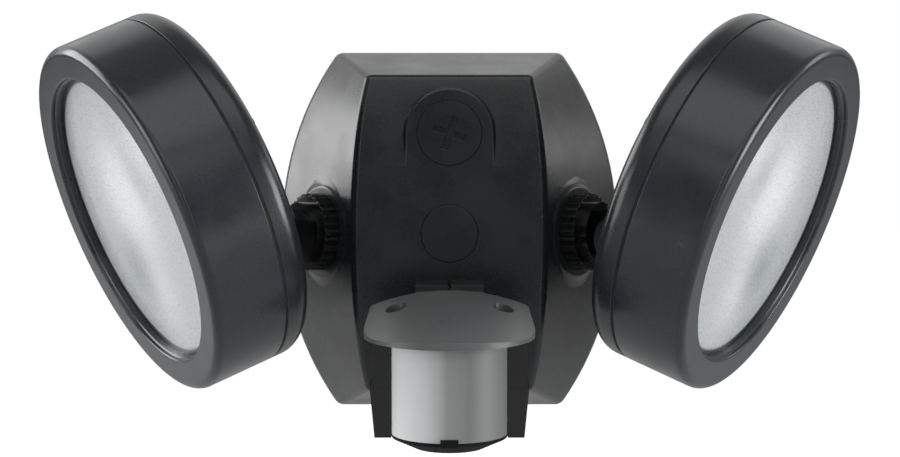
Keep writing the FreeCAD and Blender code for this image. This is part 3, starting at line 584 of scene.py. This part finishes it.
def board():
    """White solder mask of a circuit board."""
    finish = Finish("white_solder_mask", "circuit_board", Roughness=0.45)
    fine = finish.noise(700, 3)
    return finish.feed(
        Base_Color=finish.blend(fine, ink("c9cdc9"), ink("eceee9")),
        Normal=finish.bump(fine, 0.15, 0.05),
    )


GLASS = glass()
MILKY = milky()
ZINC = zinc()
BOWL = bowl()
BOARD = board()

# The camera, at the photograph's angle, and a plain studio

TARGET = Vector((0.2, -44.0, 1.76)) * MM
CAMERA_LIFT = math.radians(2.2)
CAMERA_REACH = 1.5

camera = bpy.data.objects.new("camera", bpy.data.cameras.new("camera"))
camera.data.lens = 153.6
camera.data.sensor_width = 36.0
camera.data.clip_start = 0.05
camera.data.clip_end = 50.0
reach = CAMERA_REACH * Vector((0, -math.cos(CAMERA_LIFT), math.sin(CAMERA_LIFT)))
camera.location = TARGET + reach
camera.rotation_euler = (math.pi / 2 - CAMERA_LIFT, 0, 0)
bpy.context.scene.collection.objects.link(camera)
bpy.context.scene.camera = camera

# Softboxes, all aimed at one place: place, width and height in metres, power in watts
SOFTBOX_AIM = (0, -0.04, 0.0)
SOFTBOXES = (
    ("left_back_softbox", (-1.3, 0.5, 0.42), 0.9, 0.9, 13),
    ("right_back_softbox", (1.3, 0.5, 0.45), 0.5, 0.5, 2),
    ("left_side_softbox", (-1.5, -0.62, 0.05), 0.9, 0.9, 10),
    ("right_side_softbox", (1.5, -0.62, 0.05), 0.9, 0.9, 23),
    ("top_softbox", (0.0, -0.9, 1.5), 2.2, 1.0, 9),
    ("left_front_strip", (-0.45, -1.6, 0.25), 0.12, 1.1, 1.1),
    ("right_front_strip", (0.45, -1.6, 0.25), 0.12, 1.1, 1.1),
    ("brow_sheet", (0.0, -1.7, 0.95), 2.0, 0.6, 3.5),
    ("back_sheet", (0.0, 1.5, 1.2), 3.2, 1.5, 9),
)


def softbox(name, place, width, height, power):
    """Rectangular area light turned to the common aim."""
    lamp_data = bpy.data.lights.new(name, "AREA")
    lamp_data.shape = "RECTANGLE"
    lamp_data.size = width
    lamp_data.size_y = height
    lamp_data.energy = power
    holder = bpy.data.objects.new(name, lamp_data)
    holder.location = place
    way = Vector(SOFTBOX_AIM) - Vector(place)
    holder.rotation_euler = way.to_track_quat("-Z", "Y").to_euler()
    bpy.context.scene.collection.objects.link(holder)


for row in SOFTBOXES:
    softbox(*row)

# Strength of the room before and behind the object, and the share of white in reflections
ROOM_FRONT, ROOM_BACK, ROOM_TURN = 0.06, 0.22, 0.9
MIRRORED_WHITE = 0.12


def studio():
    """Room that is white where the camera looks past the object, and dim around it."""
    world = bpy.data.worlds.new("studio")
    world.use_nodes = True
    bpy.context.scene.world = world
    tree = world.node_tree

    def node(kind, inputs, settings=()):
        made = tree.nodes.new(kind)
        for key, value in settings:
            setattr(made, key, value)
        for key, value in inputs.items():
            if isinstance(value, bpy.types.NodeSocket):
                tree.links.new(value, made.inputs[key])
            else:
                made.inputs[key].default_value = value
        return made.outputs

    def maths(operation, first, second, clamped=False):
        settings = [("operation", operation), ("use_clamp", clamped)]
        return node("ShaderNodeMath", {0: first, 1: second}, settings)[0]

    path = tree.nodes.new("ShaderNodeLightPath").outputs
    generated = tree.nodes.new("ShaderNodeTexCoord").outputs["Generated"]
    way = node("ShaderNodeSeparateXYZ", {0: generated})
    room = node("ShaderNodeMapRange", {
        "Value": way["Y"], "From Min": -ROOM_TURN, "From Max": ROOM_TURN,
        "To Min": ROOM_FRONT, "To Max": ROOM_BACK})[0]
    mirrored = maths("MULTIPLY", path["Is Glossy Ray"], MIRRORED_WHITE)
    straight = maths("MAXIMUM", path["Is Camera Ray"], path["Is Transmission Ray"])
    share = maths("ADD", mirrored, straight, clamped=True)
    white = node("ShaderNodeMix", {"Factor": share, "A": room, "B": 1.0})[0]
    tree.links.new(white, tree.nodes["Background"].inputs["Strength"])
    tree.nodes["Background"].inputs["Color"].default_value = (1, 1, 1, 1)


studio()
bpy.context.scene.view_settings.view_transform = "Standard"

FLOOR_SIZE, FLOOR_PLACE = 12, (0, 2, -0.3)
bpy.ops.object.select_all(action="DESELECT")
bpy.ops.mesh.primitive_plane_add(size=FLOOR_SIZE, location=FLOOR_PLACE)
floor = bpy.context.object
floor.name = "floor"


def paper():
    """Pale paper under the object, near white to the camera and greyer to all else."""
    finish = Finish("pale_paper", None, Roughness=0.9, Specular_IOR_Level=0.1,
                    Emission_Strength=1.0)
    seen = finish.node("ShaderNodeLightPath", output="Is Camera Ray")
    finish.feed(
        Base_Color=finish.blend(seen, ink("c8c8c8"), ink("f6f6f6")),
        Emission_Color=finish.blend(seen, ink("000000"), ink("f2f2f2")),
    )
    return finish


floor.data.materials.append(paper().material)


# Cover

def half_width(waist, end, height, z):
    """Half width at a height of an outline with sides bowed from end to waist."""
    sag = waist - end
    radius = (height ** 2 + sag ** 2) / (2 * sag)
    return waist - radius + math.sqrt(radius ** 2 - z ** 2)


def cover_form(inset):
    """Solid inside the cover's skin: a slab drawn in, row by row, towards its bowed face."""
    slope = COVER_DEPTH - COVER_RIM
    side = inset * math.hypot(slope, (COVER_WAIST - FACE_WAIST) / 2) / slope
    end = inset * math.hypot(slope, (COVER_HEIGHT - FACE_HEIGHT) / 2) / slope
    wall = (COVER_WAIST / 2 - side, COVER_END / 2 - side, COVER_HEIGHT / 2 - end)
    face = (FACE_WAIST / 2 - side, FACE_END / 2 - side, FACE_HEIGHT / 2 - end)
    shares = [2 * row / SIDE_ROWS - 1 for row in range(SIDE_ROWS + 1)]
    bpy.ops.mesh.primitive_grid_add(x_subdivisions=1, y_subdivisions=SIDE_ROWS, size=2,
                                    rotation=(math.pi / 2, 0, 0))
    piece = put(bpy.context.object, Matrix.Diagonal((1, 1, wall[2], 1)))
    shape(piece)
    for share in shares:
        z = wall[2] * share
        pick(piece, lambda co: abs(co.z - z) < NEAR, "verts")
        bpy.ops.transform.resize(value=(half_width(*wall, z), 1, 1), center_override=(0, 0, 0))
    bpy.ops.mesh.select_all(action="SELECT")
    bpy.ops.mesh.extrude_region_move(TRANSFORM_OT_translate={"value": (0, -COVER_RIM, 0)})
    bpy.ops.mesh.extrude_region_move(TRANSFORM_OT_translate={"value": (0, -slope, 0)})
    for share in shares:
        low = Vector((wall[2] * share, -COVER_RIM))
        high = Vector((face[2] * share, -COVER_DEPTH))
        reach = drum_share(low, high, FACE_BOW - inset)
        spot = low.lerp(high, reach)
        start = half_width(*wall, low.x)
        width = start + reach * (half_width(*face, high.x) - start)
        pick(piece, lambda co: abs(co.z - low.x) < NEAR and co.y < -COVER_DEPTH + NEAR, "verts")
        bpy.ops.transform.resize(value=(width / start, 1, 1), center_override=(0, 0, 0))
        bpy.ops.transform.translate(value=(0, spot.y + COVER_DEPTH, spot.x - low.x))
    bpy.ops.mesh.select_all(action="SELECT")
    bpy.ops.mesh.normals_make_consistent(inside=False)
    bpy.ops.object.mode_set(mode="OBJECT")
    return piece


def drum_share(low, high, radius):
    """How far along a side's line, drawn in height and depth, the bowed face meets it."""
    start = low - Vector((0, FACE_BOW - COVER_DEPTH))
    run = high - low
    a, b, c = run.dot(run), 2 * start.dot(run), start.dot(start) - radius ** 2
    return (-b + math.sqrt(b * b - 4 * a * c)) / (2 * a)


def pad(side):
    """Arched pad with a rounded front edge, open towards the middle of the face."""
    slab = cylinder(PAD_R, -PAD_DEEP, 0)
    shape(slab)
    pick(slab, lambda co: co.y * side > NEAR, "verts")
    bpy.ops.transform.resize(value=(1, 0, 1), center_override=(0, 0, 0))
    bpy.ops.transform.translate(value=(0, side * PAD_REACH, 0))
    bpy.ops.object.mode_set(mode="OBJECT")
    round_edges(slab, PAD_ROUND, lambda co: abs(co.z) < NEAR, 5)
    return put(slab, pad_hub(side))


def round_creases(shell):
    """Round the cover's creases and its rim, but not its edge at the wall."""
    shape(shell)
    bpy.ops.mesh.select_mode(type="EDGE")
    bpy.ops.mesh.select_all(action="DESELECT")
    bpy.ops.mesh.edges_select_sharp(sharpness=math.radians(CREASE_SHARP))
    bpy.ops.object.mode_set(mode="OBJECT")
    verts = shell.data.vertices
    for edge in shell.data.edges:
        if all(verts[i].co.y > WALL_EDGE for i in edge.vertices):
            edge.select = False
    bpy.ops.object.mode_set(mode="EDIT")
    bpy.ops.mesh.bevel(offset=CREASE_ROUND, segments=5, affect="EDGES")
    bpy.ops.object.mode_set(mode="OBJECT")


def cover():
    """Hollow casting with pads and hubs, cut off where the wall gasket lies."""
    shell = cover_form(0)
    round_creases(shell)
    carve(shell, [pad(1), pad(-1)], "UNION")
    # The hollow runs on past the wall, so that no skin is left across the open back
    hollow = cover_form(COVER_WALL)
    shape(hollow)
    pick(hollow, lambda co: co.y > -NEAR, "verts")
    bpy.ops.transform.translate(value=(0, PAST_WALL, 0))
    bpy.ops.object.mode_set(mode="OBJECT")
    carve(shell, [hollow])
    seats = [put(lathe(HUB_SEAT), side_hub(side)) for side in (-1, 1)]
    under = [put(cylinder(PAD_BOSS_R, -BOSS_DEEP, -PAD_BOSS_TOP), pad_hub(side))
             for side in (-1, 1)]
    cup = put(cylinder(CUP_R, -CUP_DEEP, -CUP_TOP), FACE_MIDDLE)
    carve(shell, [cup] + seats + under, "UNION")
    bores = [put(cylinder(STEM_BORE_R, -HUB_BORE_DEEP, HUB_BORE_PROUD), hub)
             for hub in (side_hub(-1), side_hub(1), pad_hub(-1), pad_hub(1))]
    bores += [put(cylinder(PLUG_SEAT_R, -PLUG_HEAD_DEEP, CLEAR), pad_hub(1)),
              put(cylinder(CAP_SEAT_R, -CAP_DEEP, CLEAR), FACE_MIDDLE),
              put(cylinder(WELL_R, -WELL_DEEP, CLEAR), FACE_MIDDLE),
              put(cylinder(CENTRE_BORE_R, -CENTRE_BORE_DEEP, 0), FACE_MIDDLE),
              block(-COVER_WAIST, COVER_WAIST, -GASKET_THICK, BEHIND_WALL,
                    -COVER_HEIGHT, COVER_HEIGHT)]
    carve(shell, bores)
    return finished(shell, "cover_casting", "mount", CASTING, ("cover_plate",))


def plug():
    """Closure plug: flush head with a turned cross recess, over a threaded shank."""
    shank = STEM_BORE_R - PLUG_PLAY
    body = lathe([(shank, -PLUG_LENGTH), (shank, -PLUG_HEAD_DEEP),
                  (PLUG_HEAD_R, -PLUG_HEAD_DEEP), (PLUG_HEAD_R, 0)])
    cross, other = [block(-CROSS_REACH, CROSS_REACH, -CROSS_HALF, CROSS_HALF, -CROSS_DEEP, CLEAR)
                    for _ in range(2)]
    carve(cross, [put(other, Matrix.Rotation(math.pi / 2, 4, "Z"))], "UNION")
    carve(body, [put(cross, Matrix.Rotation(math.radians(CROSS_TURN), 4, "Z"))])
    round_sharp(body, FINE_ROUND, FINE_SHARP, 2)
    return finished(body, "closure_plug_head", "mount", CASTING, ("closure_plug",), pad_hub(1))


def cap():
    """Snap-in cap in the middle of the face."""
    disc = lathe([(CAP_R, -CAP_DEEP), (CAP_R, 0)])
    round_sharp(disc, FINE_ROUND, FINE_SHARP, 3)
    return finished(disc, "centre_cap_disc", "mount", CASTING, ("centre_cap",), FACE_MIDDLE)


# Lamp heads

def bezel(name, side):
    """Front ring: rounded rim, flat flange, stepped throat and the seat of the glass."""
    inner = HEAD_R - HEAD_WALL
    low = SPLIT + SPLIT_GAP / 2
    ring = lathe([(HEAD_R, low), (HEAD_R, 0), (BEZEL_OPEN_R, 0),
                  (BEZEL_OPEN_R - STEP_TOP_IN, -STEP_TOP_DEEP),
                  (BEZEL_THROAT_R + STEP_FOOT_OUT, -STEP_FOOT_DEEP),
                  (BEZEL_THROAT_R, -BEZEL_LIP), (inner, -BEZEL_LIP), (inner, low)],
                 HEAD_SIDES, closed=True)
    round_edges(ring, RIM_ROUND, on_ring(HEAD_R, 0), 7)
    round_edges(ring, MOUTH_ROUND, on_ring(BEZEL_OPEN_R, 0), 4)
    round_edges(ring, SPLIT_ROUND, on_ring(HEAD_R, low), 3)
    return finished(ring, name + "_bezel_casting", name + "_head", BEZEL_SHEEN_COAT,
                    (name + "_bezel",), lamp(side))


def rear(name, side):
    """Finned pan with the board's seat and the toothed lug of its tilt joint."""
    back, edge = -HEAD_DEPTH, SPLIT - SPLIT_GAP / 2
    bolt = Matrix.Translation((0, -HEAD_RISE, back - HEAD_STANDOFF))
    pan = lathe([(HEAD_R, back), (HEAD_R, edge)], HEAD_SIDES)
    round_edges(pan, REAR_ROUND, on_ring(HEAD_R, back), 8)
    round_edges(pan, SPLIT_ROUND, on_ring(HEAD_R, edge), 3)
    turning = put(cylinder(KNUCKLE_R + LUG_GAP, -LUG_FACE, LUG_END),
                  bolt @ Matrix.Rotation(math.pi / 2, 4, "Y"))
    carve(pan, fin_channels(back) + [turning])
    lug = put(node_copy(name + "_rear_housing"), lamp(side).inverted())
    around = put(block(-LUG_BOX, CLEAR, -LUG_BOX, LUG_BOX, -LUG_BOX, HEAD_STANDOFF + CLEAR), bolt)
    carve(lug, [around], "INTERSECT")
    round_sharp(lug, FINE_ROUND, FINE_SHARP, 2)
    board_seat = cylinder(BOARD_SEAT_R, edge - CLEAR, edge + BOARD_SEAT_RISE, BOARD_SEAT_SIDES)
    carve(pan, [lug, board_seat], "UNION")
    return finished(pan, name + "_rear_casting", name + "_head", CASTING,
                    (name + "_rear_housing",), lamp(side))


def fin_channels(back):
    """Channels between the upright fins, stopping short of the lug and the rim."""
    channels = []
    count = int(FIN_FIELD_R / FIN_PITCH)
    for i in range(-count, count):
        left, right = i * FIN_PITCH + FIN_THICK / 2, (i + 1) * FIN_PITCH - FIN_THICK / 2
        half = math.sqrt(FIN_FIELD_R ** 2 - max(left ** 2, right ** 2))
        near_lug = left < LUG_CLEAR and right > -LUG_CLEAR
        low = KNUCKLE_R + FIN_THICK - HEAD_RISE if near_lug else -half
        channel = block(left, right, low, half, back - CLEAR, back + FIN_HEIGHT)
        round_sharp(channel, CHANNEL_ROUND, CHANNEL_SHARP, 3)
        channels.append(channel)
    return channels


def lens(name, side):
    """Round glass behind the bezel's lip."""
    front = -BEZEL_LIP - LENS_SINK
    disc = lathe([(LENS_R, -BEZEL_LIP - LENS_THICK), (LENS_R, front), (LENS_MIDDLE_R, front)],
                 LENS_SIDES)
    return finished(disc, name + "_glass", name + "_head", GLASS, (name + "_lens",), lamp(side))


cover()
plug()
cap()
for name, side in SIDES:
    bezel(name, side)
    rear(name, side)
    lens(name, side)

for part, width in (("locknut", LOCKNUT_ROUND), ("arm", ARM_ROUND)):
    for owner in ("left", "right", "sensor"):
        softened(f"{owner}_{part}", FITTING, width)
for node in ("sensor_upper_case", "sensor_lower_case"):
    softened(node, CASE, CASE_ROUND)
softened("sensor_base_cap", CAP, CASE_ROUND)
softened("sensor_hood", HOOD, HOOD_ROUND)


# Screws

def screw(name, body, place, radius, height):
    """Pan-head screw with a cross recess, its head standing on a seat."""
    pan = lathe([(radius * wide, height * tall) for wide, tall in SCREW_PROFILE], SCREW_SIDES)
    reach, half = radius * SCREW_CROSS_REACH, radius * SCREW_CROSS_HALF
    floor_height, top = height * SCREW_CROSS_FLOOR, height + CLEAR
    bars = [block(-reach, reach, -half, half, floor_height, top),
            block(-half, half, -reach, reach, floor_height, top)]
    return finished(carve(pan, bars), name, body, SCREW_BLACK, place=place)


for side_name, side in SIDES:
    for count in range(HOUSING_SCREW_COUNT):
        angle = HOUSING_SCREW_FIRST + 360 / HOUSING_SCREW_COUNT * count
        turn = Matrix.Rotation(math.radians(angle), 4, "Z")
        seat = lamp(side) @ turn @ Matrix.Translation((HOUSING_SCREW_RING, 0, -HEAD_DEPTH))
        screw(f"{side_name}_housing_screw_{count + 1}", side_name + "_head",
              seat @ Matrix.Rotation(math.pi, 4, "X"), HOUSING_SCREW_R, HOUSING_SCREW_HIGH)
    seat = sensor() @ Matrix.Translation((side * HOOD_SCREW_X, -HOOD_SCREW_Y, HOOD_SCREW_SEAT))
    screw(f"{side_name}_hood_screw", "sensor_head", seat, HOOD_SCREW_R, HOOD_SCREW_HIGH)


# Nodes that keep their shape

def dress(finish, *names):
    """Give a finish to nodes that keep their shape."""
    for name in names:
        piece = NODES[name]
        piece.data.materials.clear()
        piece.data.materials.append(finish.material)


dress(RUBBER, "wall_gasket", "left_housing_gasket", "right_housing_gasket")
dress(ZINC, "box_strap", "centre_screw", "ground_screw", "left_tilt_bolt", "right_tilt_bolt",
      "sensor_tilt_bolt", "left_tilt_nut", "right_tilt_nut", "sensor_tilt_nut", "pir_element")
dress(BOWL, "left_reflector", "right_reflector")
dress(BOARD, "left_led_board", "right_led_board", "sensor_board")
dress(MILKY, "sensor_lens")
dress(POTTING, "left_led_driver", "right_led_driver", "photocell")
dress(KNOB, "control_knob_1", "control_knob_2", "control_knob_3")
